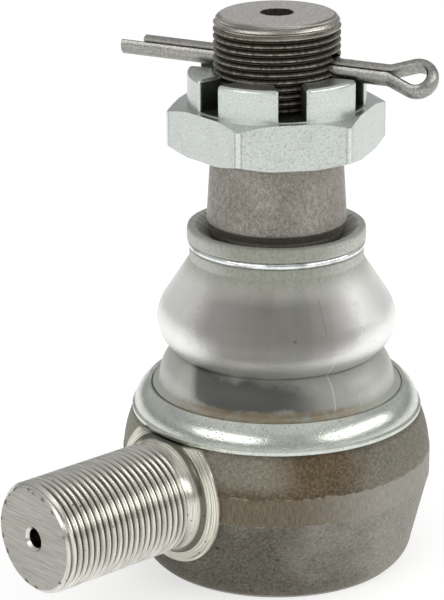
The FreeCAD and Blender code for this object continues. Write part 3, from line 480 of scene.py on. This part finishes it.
def drawn_steel(name, tint, along, rough):
    """Bare steel with fine lines along its length; `along` squeezes the noise that draws them."""
    g = Graph(name, Metallic=1.0)
    lines = g.noise(1.0, 4.0, 0.6, stretch=along)
    grain = g.average(lines, 0.7, g.noise(1.5, 4.0, 0.6))
    return g.set(Base_Color=tones(g, grain, tint, 1.6), Roughness=g.fade(grain, rough + 0.12, rough - 0.06),
                 Normal=g.bump(lines, 0.06))


def bright_wire():
    """Polished ring with a few dull marks."""
    g = Graph("bright_wire", Metallic=1.0)
    marks = g.noise(0.4, 3.0, 0.6)
    colour = g.ramp(marks, [(0.30, (0.50, 0.52, 0.51)), (0.55, (0.82, 0.84, 0.84))])
    return g.set(Base_Color=colour, Roughness=g.fade(marks, 0.22, 0.10), Normal=g.bump(marks, 0.03))


# ---------------------------------------------------------------------------------------------
# Plastic and rubber
# ---------------------------------------------------------------------------------------------

def moulded_plastic():
    """Pale acetal of the bearing shells."""
    g = Graph("moulded_plastic", Metallic=0.0)
    cloud = g.noise(0.2, 4.0, 0.5)
    colour = g.ramp(cloud, [(0.3, (0.74, 0.72, 0.66)), (0.7, (0.84, 0.83, 0.78))])
    return g.set(Base_Color=colour, Roughness=g.fade(cloud, 0.45, 0.38), Normal=g.bump(g.noise(2.0), 0.02))


def black_rubber():
    """Matt black seal."""
    g = Graph("black_rubber", Metallic=0.0)
    cloud = g.noise(0.8, 4.0, 0.6)
    colour = g.ramp(cloud, [(0.3, (0.012, 0.012, 0.012)), (0.7, (0.03, 0.03, 0.03))])
    return g.set(Base_Color=colour, Roughness=g.fade(cloud, 0.7, 0.55), Normal=g.bump(cloud, 0.03))


def grease(g):
    """Dark grease that shows in the lower fold, on the side towards the shank."""
    cloud = g.noise(0.16, 4.0, 0.6, vector=g.math_vector("ADD", g.place, (11.0, 5.0, 3.0)))
    side = g.across(VIEW_RIGHT)
    height = g.plus(g.z, g.plus(cloud, -0.5), 5.0)
    top = g.plus(height, side, 0.13)
    sector = g.both(g.span(g.across(VIEW_FRONT), 0.0, 5.0), g.span(side, -18.6, -16.6),
                    g.span(side, 13.0, 1.0))
    return g.both(sector, g.span(top, WAIST + 0.3, WAIST - 2.3),
                  g.span(height, FOOT_HEIGHT + 0.2, FOOT_HEIGHT + 1.6))


def amber_edge(g):
    """Rusty grease along the foot, beside the clamp ring."""
    low = g.span(g.z, FOOT_HEIGHT + 1.5, FOOT_HEIGHT + 0.4)
    ragged = g.span(g.noise(0.45, 5.0, 0.65), 0.32, 0.60)
    return g.both(low, ragged, g.span(g.across(FOOT_RUST), 14.0, 21.0))


def parting_line(g, bearing, low, high):
    """Hair line down the moulding at a bearing, between two heights."""
    near = g.span(g.math("ABSOLUTE", g.across(bearing + 90.0)), 0.18, 0.05)
    return g.both(near, g.span(g.across(bearing), 0.0, 5.0), g.band(g.z, low, high, 0.5))


def milky_sleeve(g, cloud):
    """Colour of the clear moulding, with grit in it and slow upright streaks of painted sheen."""
    grit = g.noise(4.0, 3.0, 0.7)
    painted_sheen_streaks = g.noise(1.0, 3.0, 0.55, g.round_stud(25.0), (0.13, 0.03, 1.0))
    colour = g.ramp(cloud, [(0.30, (0.92, 0.88, 0.79)), (0.55, (0.95, 0.92, 0.84)),
                            (0.75, (0.98, 0.96, 0.89))])
    colour = g.mix(g.both(g.span(grit, 0.52, 0.66), 0.3), colour, (0.60, 0.60, 0.55))
    # Painted sheen: slow upright light and dark streaks.
    return g.mix(g.both(g.span(painted_sheen_streaks, 0.40, 0.62), 0.4), colour, (0.55, 0.555, 0.51))


def milky_boot():
    """Milky, half-clear polyurethane: denser greenish collar, painted shade under the bulge, a darker and
    stained lower fold, small blemishes.
    """
    g = Graph("milky_boot", Metallic=0.0, IOR=1.42, Specular_IOR_Level=0.25)
    cloud = g.noise(0.09, 4.0, 0.55)
    fine = g.noise(1.4, 4.0, 0.6)
    rings = g.noise(1.0, 3.0, 0.5, stretch=(0.02, 0.02, 1.0))
    lines = g.noise(1.0, 3.0, 0.6, g.round_stud(16.0), (1.5, 0.04, 1.0))

    collar = g.span(g.z, COLLAR_FOOT - 3.0, COLLAR_FOOT + 3.0)
    greenish = tones(g, g.average(lines, 0.3, fine), (0.345, 0.355, 0.30), 1.3)
    colour = g.mix(collar, milky_sleeve(g, cloud), greenish)
    bowl = g.both(g.span(g.radius(g.x, g.y), BOWL + 0.7, BOWL),
                  g.span(g.z, COLLAR_TOP - 2.6, COLLAR_TOP - 1.8))
    colour = g.mix(bowl, colour, tones(g, lines, (0.40, 0.41, 0.355), 1.6, 0.15))

    # Painted shade under the bulge, and a darker lower fold below the waist.
    under = g.both(g.span(g.z, WAIST + 6.0, WAIST + 2.0), g.span(g.z, WAIST - 0.2, WAIST + 0.2), 0.8)
    fold = g.span(g.z, WAIST + 0.2, WAIST - 0.2)
    underside_shade_and_fold_tone = g.mix(fold, (0.115, 0.120, 0.105), tones(g, cloud, (0.195, 0.204, 0.178), 1.3))
    colour = g.mix(g.either(under, g.both(fold, 0.70)), colour, underside_shade_and_fold_tone)
    foot = g.span(g.z, FOOT_HEIGHT + 0.7, FOOT_HEIGHT - 0.1)
    colour = g.mix(g.both(foot, 0.7), colour, (0.30, 0.34, 0.25))

    stain = grease(g)
    colour = g.mix(g.both(stain, 0.85), colour, (0.040, 0.043, 0.044))
    amber = amber_edge(g)
    colour = g.mix(g.both(amber, 0.8), colour, (0.27, 0.185, 0.095))
    pale_line = parting_line(g, bearing=76.0, low=19.0, high=31.0)
    colour = g.mix(g.both(pale_line, 0.5), colour, (0.95, 0.93, 0.86))
    dark_line = parting_line(g, bearing=71.5, low=36.0, high=43.0)
    colour = g.mix(g.both(dark_line, 0.4), colour, (0.16, 0.16, 0.14))
    colour = g.mix(g.both(g.pits(0.14, 0.03, 0.065), 0.7), colour, (0.22, 0.21, 0.19))

    dense = g.either(g.both(collar, 0.88), bowl, g.both(under, 0.6), g.both(fold, 0.76), stain,
                     g.both(amber, 0.7))
    return g.set(Base_Color=colour, Roughness=g.fade(fine, 0.40, 0.52),
                 Normal=g.bump(fine, 0.03, g.bump(rings, 0.03)),
                 Transmission_Weight=g.fade(dense, 0.87, 0.15))


def greased_inside():
    """Inside wall of the boot: the same moulding with its grease, darker towards the bottom, rusty at the
    foot.
    """
    g = Graph("greased_inside", Metallic=0.0, IOR=1.42)
    cloud = g.noise(0.09, 4.0, 0.55)
    smear = grease(g)
    amber = amber_edge(g)
    # Darker towards the bottom: the inner wall goes near black from a little above the waist down.
    dark_inner_band = g.span(g.plus(g.z, cloud, 2.0), WAIST + 10.0, WAIST + 5.5)
    colour = g.mix(g.both(dark_inner_band, 0.9), (0.33, 0.33, 0.315), (0.050, 0.053, 0.050))
    colour = g.mix(smear, colour, (0.035, 0.038, 0.040))
    colour = g.mix(g.both(amber, 0.8), colour, (0.30, 0.19, 0.09))
    cover = g.either(g.both(dark_inner_band, 0.85), smear, amber)
    return g.set(Base_Color=colour, Roughness=g.fade(cloud, 0.35, 0.5),
                 Transmission_Weight=g.fade(cover, 0.80, 0.12))


# ---------------------------------------------------------------------------------------------
# The boot: places on its outline are (radius, height) pairs in mm
# ---------------------------------------------------------------------------------------------

WALL = 1.9
LIP = 14.45                              # radius of the lip on the stud
COLLAR = 19.35                           # radius of the collar
GROOVE = 17.7                            # bottom of the wire ring's groove
GROOVE_TOP, GROOVE_BOTTOM = 50.6, 49.0
SLEEVE = 19.55                           # radius where the sleeve leaves the collar
BULGE_TOP, BULGE_FOOT = (24.5, 37.6), (23.5, 27.3)
BULGE_ARC = 7.9
CREASE = 22.1                            # radius of the crease between the two folds, at WAIST
FOLD_TOP = (CREASE, WAIST - 0.1)         # the two folds are a hair apart
FOLD_FOOT = (25.5, 20.6)
FOLD_ARC = 7.5
FOOT = 25.9                              # radius where the fold enters the clamp ring
FOOT_SLOPE = 27.3                        # radius of the clamp ring's edge
BEAD = 28.8                              # radius of the bead inside the clamp ring
BEAD_BOTTOM = 14.0

TURNS = 192                              # steps round the boot
ARC_STEP = 0.55                          # mm between points along an arc
SLIGHT_TURN = 0.2                        # radians: a corner flatter than this stays as it is
CORNER_SHARE = 0.4                       # most of a side that a rounded corner may take
CURVE_SHARES = (0.0, 0.33, 0.67, 1.0)    # points along a rounded corner


def within(place):
    """The same place on the inside of the wall."""
    radius, height = place
    return radius - WALL, height


def arc(start, end, radius, side):
    """Points from start to end along an arc; side 1 bulges to the right of the way, -1 to the left."""
    a, b = Vector(start), Vector(end)
    middle, way = (a + b) / 2, b - a
    half = way.length / 2
    height = math.sqrt(max(radius ** 2 - half ** 2, 0.0))
    centre = middle + Vector((-way.y, way.x)).normalized() * height * side
    first = math.atan2(*(a - centre).yx)
    sweep = math.atan2(*(b - centre).yx) - first
    sweep = (sweep + math.pi) % (2 * math.pi) - math.pi
    steps = max(2, round(abs(sweep) * radius / ARC_STEP))
    return [tuple(centre + radius * Vector((math.cos(first + sweep * i / steps),
                                            math.sin(first + sweep * i / steps))))
            for i in range(steps + 1)]


def softened(points, reach):
    """Rounds the corners of an open outline, at most `reach` mm back from each."""
    made = [points[0]]
    for index in range(1, len(points) - 1):
        before, here, after = (Vector(points[index + step]) for step in (-1, 0, 1))
        if (here - before).angle(after - here, 0.0) < SLIGHT_TURN:
            made.append(tuple(here))
            continue
        start, end = (here + way.normalized() * min(reach, way.length * CORNER_SHARE)
                      for way in (before - here, after - here))
        for share in CURVE_SHARES:
            made.append(tuple(start * (1 - share) ** 2 + here * 2 * share * (1 - share) + end * share ** 2))
    return made + [points[-1]]


def unevenness(angle, radius, height):
    """Slow unevenness of a soft moulding, in mm."""
    place = Vector((math.cos(angle) * radius, math.sin(angle) * radius, height))
    return 0.22 * noise.noise(place * 0.055) + 0.07 * noise.noise(place * 0.22 + Vector((40, 0, 0)))


def turned(name, outside, inside, materials):
    """Two runs of places that close on each other, turned round the stud's axis; one material for each."""
    outline = outside + inside
    count = len(outline)
    inner_faces = range(len(outside), count - 1)
    points = []
    for step in range(TURNS):
        angle = 2 * math.pi * step / TURNS
        for radius, height in outline:
            grown = radius + unevenness(angle, radius, height)
            points.append((grown * math.cos(angle) * MM, grown * math.sin(angle) * MM, height * MM))
    faces, slots = [], []
    for step in range(TURNS):
        near, far = step * count, (step + 1) % TURNS * count
        for index in range(count):
            after = (index + 1) % count
            faces.append((near + index, far + index, far + after, near + after))
            slots.append(int(index in inner_faces))
    mesh = bpy.data.meshes.new(name)
    mesh.from_pydata(points, [], faces)
    mesh.polygons.foreach_set("use_smooth", [True] * len(faces))
    mesh.polygons.foreach_set("material_index", slots)
    for material in materials:
        mesh.materials.append(material)
    mesh.update()
    piece = bpy.data.objects.new(name, mesh)
    bpy.context.scene.collection.objects.link(piece)
    return piece


def boot_upper(materials):
    """Collar with its bowl and wire groove, sleeve and upper bulge."""
    outside = [(LIP, 51.6), (BOWL, COLLAR_TOP), (19.1, COLLAR_TOP), (COLLAR, 53.1), (COLLAR, GROOVE_TOP),
               (GROOVE, GROOVE_TOP), (GROOVE, GROOVE_BOTTOM), (18.9, GROOVE_BOTTOM), (18.9, 47.4),
               (18.75, 46.6), (SLEEVE, 45.1)]
    outside += arc(BULGE_TOP, BULGE_FOOT, BULGE_ARC, -1)
    outside += [(CREASE, WAIST), (CREASE - WALL, WAIST)]
    inside = arc(within(BULGE_FOOT), within(BULGE_TOP), BULGE_ARC - WALL, 1)
    inside += [(SLEEVE - WALL, 44.5), (16.4, 44.3), (LIP, 44.6)]
    piece = turned("boot_upper", softened(outside, 0.35), softened(inside, 0.35), materials)
    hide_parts("boot_upper_fold")
    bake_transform(piece)


def boot_lower(materials):
    """Lower fold and the foot that the clamp ring holds."""
    outside = arc(FOLD_TOP, FOLD_FOOT, FOLD_ARC, -1)
    outside += [(FOOT, FOOT_HEIGHT), (FOOT_SLOPE, 18.1), (FOOT_SLOPE, 17.0), (28.4, 16.2), (BEAD, 15.4),
                (BEAD, BEAD_BOTTOM)]
    inside = [(24.7, BEAD_BOTTOM), (FOOT - WALL, 17.6)]
    inside += arc(within(FOLD_FOOT), within(FOLD_TOP), FOLD_ARC - WALL, 1)
    piece = turned("boot_lower", softened(outside, 0.3), softened(inside, 0.3), materials)
    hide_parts("boot_lower_fold")
    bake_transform(piece)


# ---------------------------------------------------------------------------------------------
# Stage: places in metres
# ---------------------------------------------------------------------------------------------

CAMERA_PLACE = Vector((0.3623, 0.3881, 0.2176))
CAMERA_BEARING = math.radians(46.97)     # from +X towards +Y, seen from the ball's centre
CAMERA_DIP, CAMERA_YAW, CAMERA_ROLL = (math.radians(a) for a in (18.87, -1.28, -0.33))
CAMERA_LENS = 154.66
SENSOR_WIDTH = 36.0

FLOOR_RADIUS = 4.0
FLOOR_STEPS = 96
FLOOR_GLOW = 0.58                        # keeps the floor near white without more light on the part

SURROUND = ((0.05, 0.33), (0.35, 0.58), (0.62, 0.48), (0.85, 0.75))    # grey at shares of the height
SOFTBOX_DISTANCE = 0.81
SOFTBOX_HEIGHT = 0.43
SOFTBOX_AIM = Vector((0, 0, 0.04))


def add_camera():
    """Long lens, a little above the part and on the shank's side."""
    out = Vector((math.cos(CAMERA_BEARING), math.sin(CAMERA_BEARING), 0.0))
    side = Vector((-out.y, out.x, 0.0))
    level = math.sin(CAMERA_YAW) * side - math.cos(CAMERA_YAW) * out
    ahead = math.cos(CAMERA_DIP) * level - math.sin(CAMERA_DIP) * Vector((0, 0, 1))
    right = math.cos(CAMERA_YAW) * side + math.sin(CAMERA_YAW) * out
    up = right.cross(ahead)
    rolled_right = math.cos(CAMERA_ROLL) * right + math.sin(CAMERA_ROLL) * up
    rolled_up = math.cos(CAMERA_ROLL) * up - math.sin(CAMERA_ROLL) * right
    camera = bpy.data.objects.new("camera", bpy.data.cameras.new("camera"))
    camera.data.lens = CAMERA_LENS
    camera.data.sensor_width = SENSOR_WIDTH
    camera.data.clip_start = 0.01
    turn = Matrix((rolled_right, rolled_up, -ahead)).transposed().to_4x4()
    camera.matrix_world = Matrix.Translation(CAMERA_PLACE) @ turn
    bpy.context.scene.collection.objects.link(camera)
    bpy.context.scene.camera = camera


def add_floor():
    """Pale disc under the part."""
    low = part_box("housing")[0].z
    turns = [2 * math.pi * step / FLOOR_STEPS for step in range(FLOOR_STEPS)]
    edge = [(FLOOR_RADIUS * math.cos(turn), FLOOR_RADIUS * math.sin(turn), low) for turn in turns]
    mesh = bpy.data.meshes.new("floor")
    mesh.from_pydata(edge, [], [tuple(range(FLOOR_STEPS))])
    g = Graph("floor", Metallic=0.0, Roughness=0.6, Emission_Strength=FLOOR_GLOW)
    g.shader.inputs["Emission Color"].default_value = (1.0, 1.0, 1.0, 1.0)
    cloud = g.noise(0.002, 2.0, 0.5)
    colour = g.ramp(cloud, [(0.3, (0.60, 0.60, 0.60)), (0.7, (0.63, 0.63, 0.63))])
    mesh.materials.append(g.set(Base_Color=colour))
    floor = bpy.data.objects.new("floor", mesh)
    bpy.context.scene.collection.objects.link(floor)


def add_softbox(name, bearing, size, power):
    """Area light at a bearing from the camera's own, facing the part."""
    angle = CAMERA_BEARING + math.radians(bearing)
    place = Vector((math.cos(angle) * SOFTBOX_DISTANCE, math.sin(angle) * SOFTBOX_DISTANCE, SOFTBOX_HEIGHT))
    light = bpy.data.lights.new(name, "AREA")
    light.shape = "RECTANGLE"
    light.size, light.size_y = size
    light.energy = power
    lamp = bpy.data.objects.new(name, light)
    lamp.location = place
    lamp.rotation_euler = (SOFTBOX_AIM - place).to_track_quat("-Z", "Y").to_euler()
    bpy.context.scene.collection.objects.link(lamp)


def add_light():
    """Even studio: a surround that is darker near the floor, and one low softbox each side."""
    world = bpy.data.worlds.new("studio")
    world.use_nodes = True
    tree = world.node_tree
    place = tree.nodes.new("ShaderNodeTexCoord")
    axes = tree.nodes.new("ShaderNodeSeparateXYZ")
    ramp = colour_ramp(tree, [(height, (grey, grey, grey)) for height, grey in SURROUND])
    tree.links.new(place.outputs["Generated"], axes.inputs[0])
    tree.links.new(axes.outputs["Z"], ramp.inputs[0])
    tree.links.new(ramp.outputs[0], tree.nodes["Background"].inputs["Color"])
    bpy.context.scene.world = world
    add_softbox("softbox_left", -41, (0.80, 0.30), 1.9)
    add_softbox("softbox_right", 72, (1.00, 0.30), 2.6)


# ---------------------------------------------------------------------------------------------
# Assembly
# ---------------------------------------------------------------------------------------------

def paint(node, material):
    """Gives a CAD node its material."""
    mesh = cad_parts[node].data
    mesh.materials.clear()
    mesh.materials.append(material)


def paint_nodes():
    """Every node but the boot's two, which boot_upper and boot_lower replace."""
    plastic = moulded_plastic()
    paint("housing", forged_housing())
    paint("ball_stud", ground_stud())
    paint("upper_bearing_shell", plastic)
    paint("lower_bearing_shell", plastic)
    paint("disc_spring", drawn_steel("spring_steel", (0.22, 0.22, 0.23), (0.3, 0.3, 2.0), 0.42))
    paint("end_cover", zinc("cover_zinc", (0.50, 0.52, 0.51), 0.5, 0.3))
    paint("cover_sealing_ring", black_rubber())
    paint("boot_wire_ring", bright_wire())
    paint("boot_clamp_ring", zinc("clamp_zinc", (0.60, 0.63, 0.57), 0.6, 0.17))
    paint("castle_nut", plated_nut())
    paint("split_pin", drawn_steel("pin_steel", (0.32, 0.315, 0.295), (0.18, 3.0, 3.0), 0.28))


paint_nodes()
boot_materials = (milky_boot(), greased_inside())
boot_upper(boot_materials)
boot_lower(boot_materials)
add_floor()
add_light()
add_camera()
bpy.context.scene.view_settings.view_transform = "Standard"
